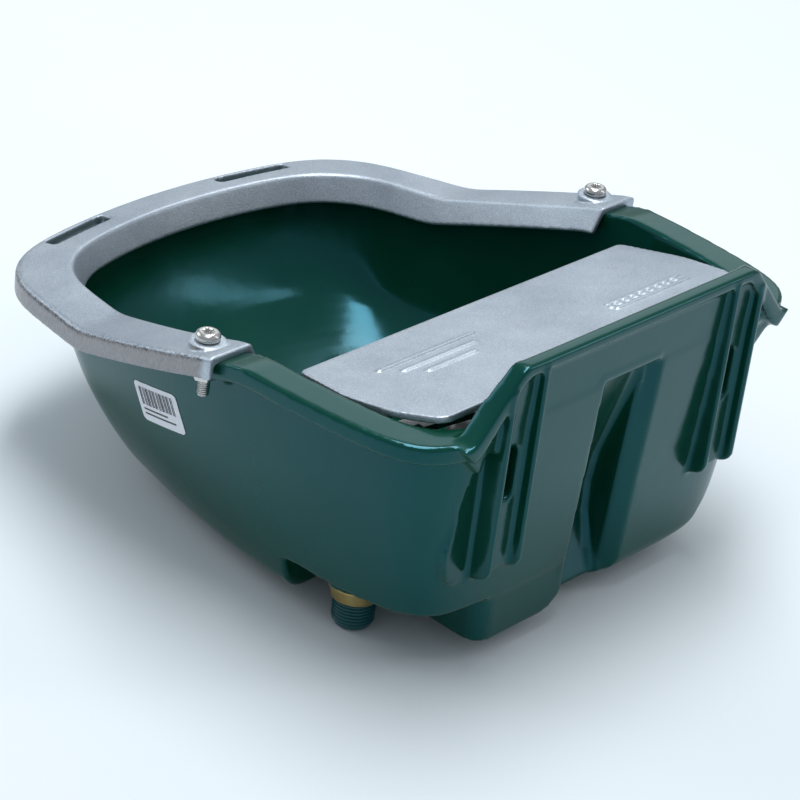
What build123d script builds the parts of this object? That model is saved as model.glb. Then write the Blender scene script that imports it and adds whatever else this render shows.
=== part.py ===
from build123d import *
import math
import os

# Wall-hung animal drinking bowl: a moulded plastic bowl with a cast rim guard, a hinged cast cover over
# the float chamber, and a float valve that keeps the water level.
# Millimetres. +Z up, X across the wall, the bowl stands out from the wall along -Y.
# The origin is on the wall plane, midway between the two slots for the wall bolts.

# ---- Driving dimensions ------------------------------------------------------------------------------

WALL = 4.0                 # plastic wall thickness
BACK_TOP = 57.0            # top of the raised back bar
RIM_LEVEL = 26.0           # flat rear part of the rim
GUARD_LEVEL = 26.5         # flat rear part of the guard
GUARD_STEP = 4.5           # guard's top above the rim that it covers
SLOPE = 0.343              # fall of the rim beside the basin
SLOPE_END = -227.0         # where the falling rim meets the front lip
LIP_FALL = 0.078           # slight fall of the front lip
RIM_HALF, RIM_BACK, RIM_FRONT = 146.5, -2.0, -326.0
RIM_THICK = 3.5
LIP_DEPTH = 9.0            # outer lip of the rim, turned down
RIM_GAP = 111.0            # the rim stops either side of the raised back panel
SHELF_HALF, SHELF_BACK, SHELF_START = 128.0, -16.0, 96.0   # wider rim in the two rear corners

GUARD_HALF, GUARD_FRONT = 152.0, -331.3
GUARD_INNER, GUARD_INNER_FRONT = 125.0, -308.5
GUARD_END = -127.0         # rear ends of the guard
GUARD_THICK = 4.0
GUARD_SKIRT = 11.5

SCREW_X, SCREW_Y = 137.8, -143.0
SCREW_SEAT = 24.5          # under the screw head
SCREW_LENGTH = 29.5
NUT_SEAT = 10.8            # flat under the rim for the washer
NUT_PAD = 2.0              # thickness of the flat's pad

# Levels of the bowl's outer skin: height, half width, back, front
LEVELS = [
    (36.0, 132.5, -4.5, -322.0),
    (-16.0, 129.5, -7.5, -317.0),
    (-40.0, 127.5, -9.0, -310.0),
    (-62.0, 125.0, -10.0, -297.0),
    (-80.0, 121.5, -11.0, -279.0),
    (-98.0, 115.0, -12.0, -256.0),
]

UNDERSIDE = -76.0          # under the float chamber
BOSS_BOTTOM = -83.0        # round boss under the inlet
RECESS_FRONT = -97.0       # back face of the front foot
FOOT_BOTTOM = -98.0
RECESS_SIDE = 16.0         # the recess is only on the inlet's side
FOOT_SIDE, FOOT_FRONT, FOOT_BACK, FOOT_ROUND = 77.0, -60.0, -11.6, 14.0
# Big rounding of the lower rear corner away from the inlet: place along Y, centre in X and Z, radius.
HULL_CORNER = [(5.0, -55.0, -50.0, 48.5), (-130.0, -108.0, -90.0, 9.0)]
GROOVE_DEPTH = [(-12.0, 26.0), (-31.0, -40.0), (-31.0, -66.0), (-20.0, -98.0)]
GROOVE_HALF = 17.0
GROOVE_TOP = 26.0

SLOT_X = 79.5              # wall bolt slots, either side of the middle
SLOT_WIDTH, SLOT_HEIGHT = 9.0, 28.0
RIB_OUTER, RIB_INNER = 91.0, 67.5
OUTER_FIN_TOP, RIB_BOTTOM = 47.0, -50.5
FIN = 3.2
CHANNEL_FLOOR = -5.0

COVER_TILT = 9.55          # the cover rises towards the wall
COVER_FRONT, COVER_LENGTH = -106.0, 86.0
COVER_LEVEL = 17.5         # top of the cover at its front edge
COVER_THICK = 3.5
RIB_STOP = 26.0            # the edge rib ends this far before the back edge
COVER_NOTCH = -32.0        # the cover's back edge clears the groove's wall when it opens
HINGE_Y, HINGE_Z = -19.5, 24.0
HINGE_PIN_R = 2.5
LUG_X, LUG_WIDE = 50.0, 6.0
KNUCKLE_X, KNUCKLE_WIDE = 38.0, 12.0
HINGE_ROD_HALF = 58.0

VALVE_X, VALVE_Y = 98.0, -70.5
THREAD_R = 10.4775         # half-inch pipe thread
STEM_BOTTOM = -107.0
NUT_BOTTOM = -92.0          # under the lock nut
ENGAGED_R = 10.3           # mean thread radius where the nut is screwed on
PIVOT_OFFSET = 14.0        # from the plunger to the lever pin
PIVOT_Z = -8.0
LEVER_SWING = 13.7         # degrees
ARM_LENGTH = 100.0
RUN_CLEAR = 0.05           # radial running clearance

LABEL_MIDDLE = (124.1, -184.9, -36.7)
LABEL_SIZE = (0.4, 36.0, 21.0)
LABEL_TURN = 18.0          # turned in its own plane
LABEL_YAW, LABEL_LEAN = 7.2, 6.1   # follows the side's taper and draft

# Plan shape shared by every outline, as share of the half width and share of the length from the back.
# Each arc is a start, a middle and an end.
REAR_CORNER = [(0.79, 0.0), (0.908, 0.035), (0.955, 0.105)]
SIDE = [(0.955, 0.105), (1.0, 0.345), (0.87, 0.80)]
FRONT_CORNER = [(0.87, 0.80), (0.79, 0.905), (0.62, 0.962)]


# ---- Helpers -----------------------------------------------------------------------------------------

def outline(half, back, front, height):
    """Plan outline as a face: straight back, rounded corners, full sides and a bowed front."""
    def place(share, run):
        return (half * share, back + (front - back) * run, height)

    arcs = [ThreePointArc(*[place(*point) for point in arc]) for arc in (REAR_CORNER, SIDE, FRONT_CORNER)]
    mirrored = [mirror(arc, about=Plane.YZ) for arc in arcs]
    bow = ThreePointArc(arcs[2] @ 1, place(0, 1), mirrored[2] @ 1)
    rear = Line(mirrored[0] @ 0, arcs[0] @ 0)
    return make_face([*arcs, bow, *mirrored, rear])


def column(half, back, front, low=-140.0, high=80.0):
    """The outline as a tall upright column."""
    return extrude(outline(half, back, front, low), amount=high - low, dir=(0, 0, 1))


def side_slab(profile, half=170.0):
    """A closed profile in Y and Z, carried across X."""
    face = make_face(Polyline(*[(-half, y, z) for y, z in profile], close=True))
    return extrude(face, amount=2 * half, dir=(1, 0, 0))


def rim_line(level, drop, radius):
    """Top line of the rim, side view: flat, falling beside the basin, then the front lip."""
    foot = GUARD_LEVEL - (SLOPE_END + 126.7) * -SLOPE - drop
    start = SLOPE_END + (level - foot) / SLOPE
    far = -350.0
    corners = [(10.0, level), (start, level), (SLOPE_END, foot), (far, foot + (far - SLOPE_END) * LIP_FALL)]
    return FilletPolyline(*[(0, y, z) for y, z in corners], radius=radius)


def under_line(line, top_shift, depth):
    """Slab that follows a rim line, from top_shift below it down to depth below it."""
    upper = Pos(0, 0, -top_shift) * line
    lower = Pos(0, 0, -depth) * line
    ends = [Line(upper @ 0, lower @ 0), Line(upper @ 1, lower @ 1)]
    face = make_face([*upper.edges(), *lower.edges(), *ends])
    return Pos(-170, 0, 0) * extrude(face, amount=340, dir=(1, 0, 0))


def box(x, y, z):
    """Box between low and high corners."""
    size = [high - low for low, high in (x, y, z)]
    middle = [(high + low) / 2 for low, high in (x, y, z)]
    return Pos(*middle) * Box(*size)


def rod(radius, low, high, x=VALVE_X, y=VALVE_Y):
    """Upright round bar."""
    return Pos(x, y, (low + high) / 2) * Cylinder(radius, high - low)


def cross_rod(radius, low, high, y, z):
    """Round bar along X."""
    return Pos((low + high) / 2, y, z) * Rot(0, 90, 0) * Cylinder(radius, high - low)


def pin_rod(radius, low, high, x, z):
    """Round bar along Y."""
    return Pos(x, (low + high) / 2, z) * Rot(90, 0, 0) * Cylinder(radius, high - low)


def hexagon(across, low, high, x, y):
    """Upright hexagonal bar."""
    face = RegularPolygon(across / math.sqrt(3), 6)
    return Pos(x, y, low) * extrude(face, amount=high - low)


def both_sides(shape):
    """The shape and its mirror image about the middle plane."""
    return shape + mirror(shape, about=Plane.YZ)


def save(name, shape):
    """Write one node; its solids are kept apart when there are several."""
    solids = list(shape.solids())
    node = solids[0] if len(solids) == 1 else Compound(children=solids)
    node.label = name
    export_step(node, f"parts/{name}.step")


# ---- Bowl --------------------------------------------------------------------------------------------

def bowl_loft(inset, floor_lift, raise_top):
    """Ruled body through the skin's levels, moved inwards by inset."""
    faces = []
    for z, half, back, front in LEVELS:
        height = z + raise_top if z > 0 else z
        if z == LEVELS[-1][0]:
            height += floor_lift
        faces.append(outline(half - inset, back - inset, front + inset, height))
    return loft(faces, ruled=True)


def outside_corner(grow):
    """Space outside the big rounding of the lower rear corner, which fades out towards the front."""
    faces = []
    for y, x, z, radius in HULL_CORNER:
        turns = [math.radians(270 - 11 * i) for i in range(8)]
        points = [(x + (radius - grow) * math.cos(t), y, z + (radius - grow) * math.sin(t)) for t in turns]
        points += [(points[-1][0] - 28, y, -15), (-185, y, -15), (-185, y, -125), (points[0][0], y, -125)]
        faces.append(make_face(Polyline(*points, close=True)))
    return loft(faces, ruled=True)


def foot():
    """Foot under the float chamber, flush with the back, with a big rounding beside the groove."""
    block = box((RECESS_SIDE, FOOT_SIDE), (FOOT_FRONT, FOOT_BACK), (FOOT_BOTTOM, UNDERSIDE + 2))
    x, z = RECESS_SIDE + 1 + FOOT_ROUND, FOOT_BOTTOM + FOOT_ROUND
    corner = box((RECESS_SIDE - 1, x), (FOOT_FRONT - 5, 5), (FOOT_BOTTOM - 5, z))
    return block - (corner - pin_rod(FOOT_ROUND, FOOT_FRONT - 5, 5, x, z))


def water_space():
    """Inside of the bowl: the drinking basin, and the shallower float chamber behind it."""
    under_chamber = box((RECESS_SIDE - WALL, 170), (RECESS_FRONT - WALL, 10), (-140, UNDERSIDE + WALL))
    return bowl_loft(WALL, WALL, 12) - under_chamber - outside_corner(WALL)


def rim_flange():
    """Flat rim with a turned-down outer lip."""
    line = rim_line(RIM_LEVEL, GUARD_STEP, 60)
    plate = column(RIM_HALF, RIM_BACK, RIM_FRONT) & under_line(line, 0, RIM_THICK)
    lip = column(RIM_HALF, RIM_BACK, RIM_FRONT) - column(RIM_HALF - 2.5, RIM_BACK - 2.5, RIM_FRONT + 2.5)
    behind = box((-RIM_GAP, RIM_GAP), (-12, 5), (0, RIM_LEVEL + 10))
    return plate + (lip & under_line(line, 0, LIP_DEPTH)) - behind


def rear_shelf():
    """Wider rim in the rear corners, beside the cover."""
    line = rim_line(RIM_LEVEL, GUARD_STEP, 60)
    band = column(RIM_HALF - 1, RIM_BACK - 1, RIM_FRONT + 1) - column(SHELF_HALF, SHELF_BACK, RIM_FRONT + 8)
    corner = box((SHELF_START, 160), (-62, 0), (0, 40))
    return both_sides(band & under_line(line, 0, RIM_THICK) & corner)


def back_wall():
    """Raised back panel with its stiffening bar along the top."""
    corners = [(-102, 10), (-114, RIM_LEVEL), (-84, BACK_TOP), (84, BACK_TOP), (114, RIM_LEVEL), (102, 10)]
    sheet = make_face(Polyline(*[(x, 0, z) for x, z in corners], close=True))
    low = [(-130, 0), (-115, RIM_LEVEL - LIP_DEPTH), (-82, BACK_TOP - 6),
           (82, BACK_TOP - 6), (115, RIM_LEVEL - LIP_DEPTH), (130, 0)]
    under = make_face(Polyline(*[(x, 0, z) for x, z in low], close=True))
    panel = Pos(0, -4.5, 0) * extrude(sheet, amount=WALL, dir=(0, -1, 0))
    bar = Pos(0, -1, 0) * extrude(sheet, amount=11, dir=(0, -1, 0))
    return panel + (bar - extrude(under, amount=20, dir=(0, -1, 0)))


def mounting_rib():
    """Channel rib with two fins that bear on the wall and a slot for the bolt."""
    base = box((RIB_INNER, RIB_OUTER), (-16, CHANNEL_FLOOR), (RIB_BOTTOM, OUTER_FIN_TOP - 2))
    fins = box((RIB_INNER, RIB_INNER + FIN), (-10, 0), (RIB_BOTTOM, BACK_TOP - 4))
    fins += box((RIB_OUTER - FIN, RIB_OUTER), (-10, 0), (RIB_BOTTOM, OUTER_FIN_TOP))
    return base + fins


def bolt_slot():
    """Upright slot for one wall bolt, cut through rib and panel."""
    face = SlotOverall(SLOT_HEIGHT, SLOT_WIDTH)
    tool = extrude(face, amount=60, both=True)
    return Pos(SLOT_X, -10, 0) * Rot(90, 0, 0) * Rot(0, 0, 90) * tool


def groove_tool(grow, top, low):
    """Upright groove in the back, deepest halfway down."""
    depths = [(y - grow, min(z, GROOVE_TOP - 1)) for y, z in GROOVE_DEPTH]
    reach = [(2, top), (depths[0][0], top), *depths[1:], (2, depths[-1][1])]
    if low < FOOT_BOTTOM:
        reach = reach[:-1] + [(depths[-1][0], low), (2, low)]
    face = make_face(Polyline(*[(-GROOVE_HALF - grow, y, z) for y, z in reach], close=True))
    return extrude(face, amount=2 * (GROOVE_HALF + grow), dir=(1, 0, 0))


def hinge_lug():
    """Lug on the back panel that holds the cover's hinge rod."""
    arm = box((LUG_X - LUG_WIDE / 2, LUG_X + LUG_WIDE / 2), (HINGE_Y, -7), (HINGE_Z - 5, HINGE_Z + 5))
    return arm + cross_rod(5, LUG_X - LUG_WIDE / 2, LUG_X + LUG_WIDE / 2, HINGE_Y, HINGE_Z)


def bowl_body():
    """The moulded bowl in one piece."""
    shell = bowl_loft(0, 0, 0) & under_line(rim_line(RIM_LEVEL, GUARD_STEP, 60), 1.0, 200)
    shell -= box((RECESS_SIDE, 170), (RECESS_FRONT, 20), (-140, UNDERSIDE))
    shell -= outside_corner(0)
    shell += foot()
    shell += rod(16, BOSS_BOTTOM, UNDERSIDE + 2)
    shell += rim_flange()
    shell += back_wall()
    shell += both_sides(mounting_rib())
    shell -= water_space()
    shell += rear_shelf()
    shell += groove_tool(WALL, GROOVE_TOP + WALL, FOOT_BOTTOM) & bowl_loft(0, 0, 0)
    shell -= groove_tool(0, GROOVE_TOP, -130)
    shell -= cross_rod(HINGE_PIN_R + 0.5, -30, 30, HINGE_Y, HINGE_Z)
    shell += both_sides(hinge_lug())
    shell += both_sides(rod(8, NUT_SEAT, NUT_SEAT + NUT_PAD, SCREW_X, SCREW_Y))
    shell -= both_sides(rod(3.3, NUT_SEAT - 20, 40, SCREW_X, SCREW_Y))
    shell -= both_sides(bolt_slot())
    shell -= both_sides(cross_rod(HINGE_PIN_R, LUG_X - LUG_WIDE, LUG_X + LUG_WIDE, HINGE_Y, HINGE_Z))
    return shell - rod(THREAD_R + 0.3, -130, -50)


# ---- Guard and its fasteners -------------------------------------------------------------------------

def rim_guard():
    """Cast channel that covers the front and side rim, so animals can't bite it."""
    line = rim_line(GUARD_LEVEL, 0, 60)
    outer = column(GUARD_HALF, 0, GUARD_FRONT)
    hole = column(GUARD_INNER, 0, GUARD_INNER_FRONT)
    pads = both_sides(rod(8, 5, SCREW_SEAT - 2, SCREW_X, SCREW_Y))
    rim = under_line(rim_line(RIM_LEVEL, GUARD_STEP, 60), 0, 60)
    plate = ((outer - hole) & under_line(line, 0, GUARD_THICK)) + pads - rim
    skirt = (outer - column(GUARD_HALF - 3.5, -3.5, GUARD_FRONT + 3.5)) & under_line(line, 0, GUARD_SKIRT)
    inner = (hole - column(GUARD_INNER - 3.6, -3.6, GUARD_INNER_FRONT + 5.5)) & under_line(line, 2, GUARD_SKIRT)
    ring = (plate + skirt + inner) & box((-170, 170), (-340, GUARD_END), (-100, 60))
    ring += both_sides(rod(8, SCREW_SEAT - 4, SCREW_SEAT, SCREW_X, SCREW_Y))
    ring -= both_sides(rod(3.3, -20, 60, SCREW_X, SCREW_Y))
    for side in (-1, 1):
        slot = extrude(SlotOverall(46, 7), amount=80)
        ring -= Pos(side * 62, -317.5, -40) * Rot(0, 0, side * 10) * slot
    return ring


def rim_screws():
    """Pan-head screws with a six-lobe socket."""
    screw = rod(3, SCREW_SEAT - SCREW_LENGTH, SCREW_SEAT, SCREW_X, SCREW_Y)
    head = rod(6, SCREW_SEAT, SCREW_SEAT + 4.2, SCREW_X, SCREW_Y)
    head = fillet(head.edges().group_by(Axis.Z)[-1], 1.8)
    socket = rod(2.0, SCREW_SEAT + 1.8, SCREW_SEAT + 6, SCREW_X, SCREW_Y)
    for turn in range(6):
        angle = math.radians(60 * turn)
        lobe_x = SCREW_X + 2.0 * math.cos(angle)
        lobe_y = SCREW_Y + 2.0 * math.sin(angle)
        socket += rod(0.75, SCREW_SEAT + 1.8, SCREW_SEAT + 6, lobe_x, lobe_y)
    return both_sides(screw + head - socket)


def rim_washers():
    """Plain washers under the rim."""
    ring = rod(5.6, NUT_SEAT - 1.2, NUT_SEAT, SCREW_X, SCREW_Y)
    return both_sides(ring - rod(3.2, 0, 20, SCREW_X, SCREW_Y))


def rim_nuts():
    """Hexagon nuts that clamp the guard."""
    nut = hexagon(10, NUT_SEAT - 6.2, NUT_SEAT - 1.2, SCREW_X, SCREW_Y)
    return both_sides(nut - rod(3, -10, 20, SCREW_X, SCREW_Y))


# ---- Cover and its hinge -----------------------------------------------------------------------------

def cover_outline(inset):
    """Flat outline of the cover, drawn from its front edge backwards."""
    half = [(114 - inset, inset), (118.5 - inset, 6), (121.5 - inset, 38), (119.5 - inset, 62),
            (114 - inset, 74), (104 - inset, COVER_LENGTH - inset)]
    right = Spline(*half)
    left = mirror(right, about=Plane.YZ)
    front = Line(left @ 0, right @ 0)
    back = Line(right @ 1, left @ 1)
    return make_face([right, back, left, front])


def float_cover():
    """Cast cover plate with an edge rib, finger ridges and hinge knuckles."""
    plate = extrude(cover_outline(0), amount=-COVER_THICK)
    rib = extrude(cover_outline(0) - cover_outline(3), amount=-COVER_THICK - 3)
    rib -= box((-150, 150), (COVER_LENGTH - RIB_STOP, COVER_LENGTH + 1), (-20, -COVER_THICK))
    ridges = both_sides(box((42, 98), (52, 58), (-1, 1.2)))
    flat = plate + rib + ridges
    placed = Pos(0, COVER_FRONT, COVER_LEVEL) * Rot(COVER_TILT, 0, 0) * flat
    low, high = KNUCKLE_X - KNUCKLE_WIDE / 2, KNUCKLE_X + KNUCKLE_WIDE / 2
    knuckle = cross_rod(4.5, low, high, HINGE_Y, HINGE_Z)
    knuckle += box((low, high), (HINGE_Y - 4.5, HINGE_Y + 2), (HINGE_Z, HINGE_Z + 6))
    placed += both_sides(knuckle)
    gap = box((LUG_X - LUG_WIDE / 2 - 1.5, LUG_X + LUG_WIDE / 2 + 1.5), (-34, 0), (0, 60))
    placed -= both_sides(gap)
    placed -= box((-26, 26), (COVER_NOTCH, 0), (0, 60))
    return placed - cross_rod(HINGE_PIN_R + RUN_CLEAR, -120, 120, HINGE_Y, HINGE_Z)


def cover_hinge_rod():
    """Steel rod through the lugs and knuckles."""
    return cross_rod(HINGE_PIN_R, -HINGE_ROD_HALF, HINGE_ROD_HALF, HINGE_Y, HINGE_Z)


def hinge_rod_clips():
    """Push-on clips at the rod's ends."""
    clip = cross_rod(5, LUG_X + LUG_WIDE / 2, LUG_X + LUG_WIDE / 2 + 1, HINGE_Y, HINGE_Z)
    return both_sides(clip - cross_rod(HINGE_PIN_R, LUG_X, HINGE_ROD_HALF, HINGE_Y, HINGE_Z))


# ---- Valve -------------------------------------------------------------------------------------------

def inlet_stem():
    """Threaded inlet stem with a flange that seats on the chamber floor."""
    stem = chamfer(rod(THREAD_R, STEM_BOTTOM, NUT_BOTTOM).edges().group_by(Axis.Z)[0], 1.2)
    stem += rod(ENGAGED_R, NUT_BOTTOM, -70)
    stem += rod(13, -70, -66.5) + rod(9, -66.5, -44)
    return stem - rod(4, -120, -40) - rod(7, STEM_BOTTOM - 1, STEM_BOTTOM + 16)


def inlet_strainer():
    """Cup strainer pressed into the stem's mouth."""
    cup = rod(7, STEM_BOTTOM + 1, STEM_BOTTOM + 16) - rod(5.8, STEM_BOTTOM, STEM_BOTTOM + 14.8)
    for turn in range(3):
        slot = Rot(0, 0, 60 * turn) * Box(1.2, 7, 10)
        cup -= Pos(VALVE_X, VALVE_Y, STEM_BOTTOM + 15) * slot
    return cup


def stem_gasket():
    """Rubber ring under the stem's flange."""
    return rod(13, -72, -70) - rod(ENGAGED_R, -90, -60)


def lock_nut():
    """Flanged taper nut that clamps the stem from below."""
    flange = rod(14, BOSS_BOTTOM - 2, BOSS_BOTTOM)
    low, high = NUT_BOTTOM, BOSS_BOTTOM - 2
    taper = Pos(VALVE_X, VALVE_Y, (low + high) / 2) * Cone(11.8, 13.2, high - low)
    return flange + taper - rod(ENGAGED_R, -120, -70)


def valve_housing():
    """Housing that screws onto the stem, guides the plunger and carries the lever."""
    cup = rod(13, -60, -22) - rod(9, -61, -44) - rod(4, -50, -30) - rod(6, -40, -20)
    window = box((VALVE_X - 20, VALVE_X + 20), (VALVE_Y - 3, VALVE_Y + 3), (-39, -34.5))
    cup -= window
    ears = box((VALVE_X - 20, VALVE_X + 8), (VALVE_Y - 11, VALVE_Y - 8), (-24, -2))
    ears += box((VALVE_X - 20, VALVE_X + 8), (VALVE_Y + 8, VALVE_Y + 11), (-24, -2))
    return cup + ears - pin_rod(2, VALVE_Y - 20, VALVE_Y + 20, VALVE_X - PIVOT_OFFSET, PIVOT_Z)


def valve_nozzle():
    """Nozzle insert that the seal closes on."""
    nozzle = rod(4, -44, -40) + rod(2.5, -40, -37)
    return nozzle - rod(1.2, -50, -30)


PLUNGER_TRAVEL = PIVOT_OFFSET * math.radians(LEVER_SWING)
SEAL_REST = -37 + PLUNGER_TRAVEL + 0.05


def plunger_seal():
    """Rubber disc in the plunger's foot."""
    return rod(4.5, SEAL_REST, SEAL_REST + 2)


def plunger():
    """Sliding plunger between lever and nozzle."""
    tip_height = PIVOT_Z + PIVOT_OFFSET * math.sin(math.radians(LEVER_SWING / 2))
    top = tip_height - 3 - 0.12
    body = rod(6 - RUN_CLEAR, SEAL_REST, top)
    return body - rod(4.5, SEAL_REST - 1, SEAL_REST + 2)


def lever_place(shape):
    """Carry a shape drawn about a level lever to the lever's resting slope."""
    return Pos(VALVE_X - PIVOT_OFFSET, VALVE_Y, PIVOT_Z) * Rot(0, -LEVER_SWING / 2, 0) * shape


def lever_arm():
    """Lever with its hub, its pressing tip and the long arm to the float."""
    hub = Rot(90, 0, 0) * Cylinder(4.5, 15)
    tip = Pos(PIVOT_OFFSET, 0, 0) * Rot(90, 0, 0) * Cylinder(3, 8)
    link = Pos(PIVOT_OFFSET / 2, 0, 0.5) * Box(PIVOT_OFFSET, 8, 4)
    arm = Pos(-ARM_LENGTH / 2 - 3, 0, 0) * Box(ARM_LENGTH + 6, 10, 3.5)
    end = Pos(-ARM_LENGTH, 0, 0) * Cylinder(7, 3.5)
    hole = Pos(-ARM_LENGTH, 0, 0) * Cylinder(3.2, 10)
    bore = Rot(90, 0, 0) * Cylinder(2 + RUN_CLEAR, 40)
    return lever_place(hub + tip + link + arm + end - hole - bore)


def lever_pin():
    """Pivot pin held in the housing's ears."""
    x = VALVE_X - PIVOT_OFFSET
    pin = pin_rod(2, VALVE_Y - 14, VALVE_Y + 11, x, PIVOT_Z)
    head = pin_rod(3.5, VALVE_Y + 11, VALVE_Y + 12.5, x, PIVOT_Z)
    return pin + head


def lever_pin_clip():
    """Spring ring behind the far ear."""
    x = VALVE_X - PIVOT_OFFSET
    ring = pin_rod(3.6, VALVE_Y - 12, VALVE_Y - 11, x, PIVOT_Z)
    return ring - pin_rod(2, VALVE_Y - 15, VALVE_Y, x, PIVOT_Z)


FLOAT_TOP = -16.0          # below the lever, in the lever's own frame
FLOAT_SIZE = (72.0, 50.0, 28.0)
ROD_MIDDLE, ROD_LENGTH = -8.0, 44.0


def float_rod():
    """Threaded rod that sets the water level."""
    return lever_place(Pos(-ARM_LENGTH, 0, ROD_MIDDLE) * Cylinder(3, ROD_LENGTH))


def float_rod_nuts():
    """Wing nut over the arm and hexagon nut under it."""
    under = hexagon(10, -6.75, -1.75, 0, 0)
    hub = Pos(0, 0, 4.25) * Cylinder(5.5, 5)
    wings = Pos(0, 0, 5.75) * Box(24, 2.5, 8)
    nuts = [under - Cylinder(3, 40), hub + wings - Cylinder(3, 40)]
    return Compound(children=[lever_place(Pos(-ARM_LENGTH, 0, 0) * nut).solids()[0] for nut in nuts])


def level_float():
    """Hollow plastic float, closed, with a collar for the rod."""
    long, wide, deep = FLOAT_SIZE
    body = Box(long, wide, deep)
    body = fillet(body.edges(), 9)
    body = Pos(0, 0, FLOAT_TOP - deep / 2) * body
    collar = Pos(0, 0, FLOAT_TOP + 2) * Cylinder(7, 6)
    hole = Pos(0, 0, ROD_MIDDLE) * Cylinder(3, ROD_LENGTH)
    return lever_place(Pos(-ARM_LENGTH, 0, 0) * (body + collar - hole))


# ---- Label -------------------------------------------------------------------------------------------

def product_label():
    """Plain paper label on the bowl's side."""
    facing = Rot(0, 0, -LABEL_YAW) * Rot(0, LABEL_LEAN, 0) * Rot(LABEL_TURN, 0, 0)
    return Pos(*LABEL_MIDDLE) * facing * Box(*LABEL_SIZE)


# ---- Write every node --------------------------------------------------------------------------------

os.makedirs("parts", exist_ok=True)
for maker in (bowl_body, rim_guard, rim_screws, rim_washers, rim_nuts, float_cover, cover_hinge_rod,
              hinge_rod_clips, inlet_stem, inlet_strainer, stem_gasket, lock_nut, valve_housing,
              valve_nozzle, plunger_seal, plunger, lever_arm, lever_pin, lever_pin_clip, float_rod,
              float_rod_nuts, level_float, product_label):
    save(maker.__name__, maker())
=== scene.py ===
import math

import bmesh
import bpy
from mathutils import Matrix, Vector


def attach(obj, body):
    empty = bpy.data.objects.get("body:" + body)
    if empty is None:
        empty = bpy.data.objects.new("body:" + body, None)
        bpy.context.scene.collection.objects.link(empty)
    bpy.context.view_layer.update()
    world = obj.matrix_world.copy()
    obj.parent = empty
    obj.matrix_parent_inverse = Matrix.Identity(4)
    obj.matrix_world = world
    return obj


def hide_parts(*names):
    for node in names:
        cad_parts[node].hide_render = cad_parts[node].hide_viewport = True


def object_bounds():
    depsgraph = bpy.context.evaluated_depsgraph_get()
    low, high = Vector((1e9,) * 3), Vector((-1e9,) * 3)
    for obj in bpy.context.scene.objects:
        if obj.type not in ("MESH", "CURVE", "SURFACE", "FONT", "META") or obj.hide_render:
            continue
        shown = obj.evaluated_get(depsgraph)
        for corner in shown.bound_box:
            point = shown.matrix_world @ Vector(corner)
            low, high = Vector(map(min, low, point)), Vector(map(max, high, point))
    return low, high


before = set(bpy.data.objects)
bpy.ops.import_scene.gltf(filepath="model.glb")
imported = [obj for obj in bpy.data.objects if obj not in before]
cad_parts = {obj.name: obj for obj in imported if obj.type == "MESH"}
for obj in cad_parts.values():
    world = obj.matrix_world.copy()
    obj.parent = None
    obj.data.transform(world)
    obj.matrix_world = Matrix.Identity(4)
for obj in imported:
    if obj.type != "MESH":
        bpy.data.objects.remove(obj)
CAD_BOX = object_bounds()

# Wall-hung drinking bowl: glossy moulded bowl, sand-cast rim guard and float cover, threaded inlet.
# Sizes are in millimetres, in the frame of the CAD model, and become metres when a mesh is made.
MM = 0.001

# ---- Driving dimensions, as in the CAD model but for small allowances --------------------------------

WALL = 4.0
BACK_TOP = 57.0
RIM_LEVEL, GUARD_LEVEL, GUARD_STEP = 26.0, 26.5, 4.5
SLOPE, SLOPE_START, SLOPE_END, LIP_FALL = 0.343, -126.7, -227.0, 0.078
RIM_HALF, RIM_BACK, RIM_FRONT = 146.5, -2.0, -326.0
RIM_THICK, LIP_DEPTH = 3.5, 9.0
RIM_GAP = 111.0             # the rim stops either side of the raised back panel
SHELF_HALF, SHELF_BACK, SHELF_START = 128.0, -13.5, 96.0   # wider rim in the two rear corners
GUARD_HALF, GUARD_FRONT = 152.0, -331.3
GUARD_INNER, GUARD_INNER_FRONT = 125.0, -308.5
GUARD_END, GUARD_SKIRT = -127.0, 11.5
SCREW_X, SCREW_Y, SCREW_SEAT, SCREW_LENGTH, NUT_SEAT = 137.8, -143.0, 24.5, 29.5, 10.8
LEVELS = [
    (36.0, 132.5, -4.5, -322.0),
    (-16.0, 129.5, -7.5, -317.0),
    (-40.0, 127.5, -9.0, -310.0),
    (-62.0, 125.0, -10.0, -297.0),
    (-80.0, 121.5, -11.0, -279.0),
    (-98.0, 115.0, -12.0, -256.0),
]
FLOOR = -98.0
UNDERSIDE, BOSS_BOTTOM, RECESS_FRONT, RECESS_SIDE = -76.0, -83.0, -97.0, 16.0
FOOT_SIDE, FOOT_FRONT, FOOT_BACK, FOOT_ROUND = 78.0, -64.0, -11.3, 14.0
# Big rounding of the lower rear corner away from the inlet: place along Y, centre in X and Z, radius.
HULL_CORNER = [(5.0, -55.0, -50.0, 48.5), (-130.0, -108.0, -90.0, 9.0)]
GROOVE_HALF, GROOVE_TOP = 17.0, 26.0
SLOT_X, SLOT_WIDTH, SLOT_HEIGHT = 79.5, 9.0, 28.0
DRAIN_X, DRAIN_Y, DRAIN_LONG, DRAIN_WIDE, DRAIN_TURN = 62.0, -317.5, 46.0, 7.6, 10.0   # slots in the guard
RIB_OUTER, RIB_INNER, OUTER_FIN_TOP, RIB_BOTTOM, FIN = 91.0, 67.5, 47.0, -50.5, 3.2
RIB_INSIDE, CHANNEL_FLOOR, FIN_EDGE = -11.0, -5.5, 0.4     # depths of a rib: in the wall, floor, fin
COVER_TILT, COVER_FRONT, COVER_LENGTH, COVER_LEVEL, COVER_THICK = 9.55, -106.0, 86.0, 17.5, 3.5
HINGE_Y, HINGE_Z, HINGE_PIN_R = -19.5, 24.0, 2.5
LUG_X, LUG_WIDE, KNUCKLE_X, KNUCKLE_WIDE, COVER_NOTCH, RIB_STOP = 50.0, 6.0, 38.0, 12.0, -32.0, 26.0
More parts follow.
